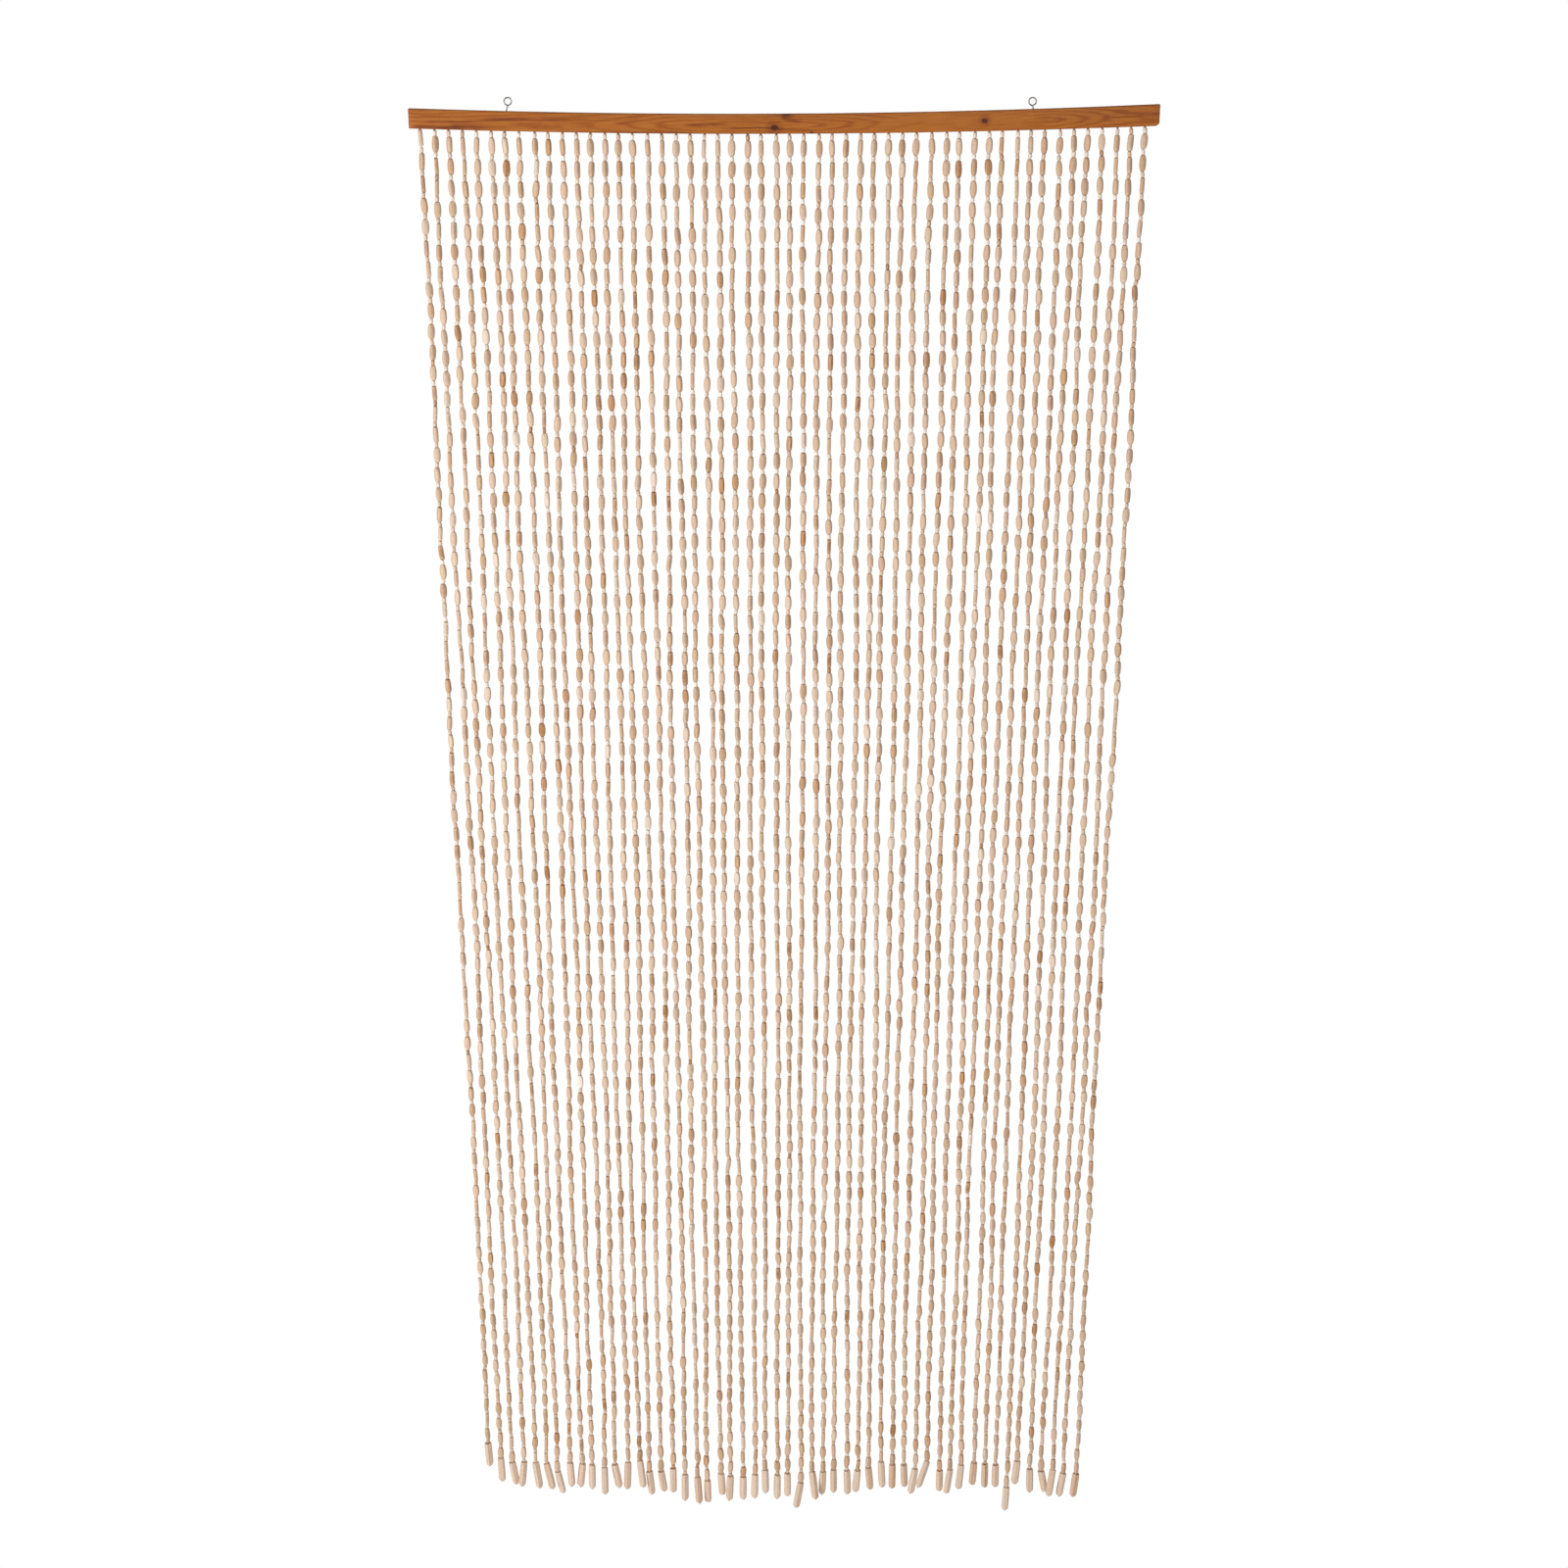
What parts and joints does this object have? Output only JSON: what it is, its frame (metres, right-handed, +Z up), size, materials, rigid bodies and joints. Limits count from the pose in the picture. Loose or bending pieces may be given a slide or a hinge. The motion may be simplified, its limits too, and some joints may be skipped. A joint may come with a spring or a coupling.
{
  "type": "bead curtain on a wooden rail",
  "caption": "Door curtain of wooden beads: strands of flat oval and short round beads with long drops, under a bowed pine rail with two screw eyes.",
  "frame": {"origin": "halfway between the two screw eyes, on the line where the hooks bear inside the top of their loops", "axes": "+X to the right of a viewer in front of the curtain, +Y to the back, +Z up"},
  "size_m": [0.9, 0.026, 2.0247],
  "materials": {
    "varnished_pine": "orange-brown varnished pine, satin",
    "bare_wood_beads": "bare wood in beige, tan and light brown, smooth and dull",
    "zinc_wire": "dull zinc-plated wire"
  },
  "bodies": {
    "root": {"headrail": "varnished_pine", "screw_eye_left": "zinc_wire", "screw_eye_right": "zinc_wire", "bead_strands": "bare_wood_beads"}
  },
  "joints": []
}
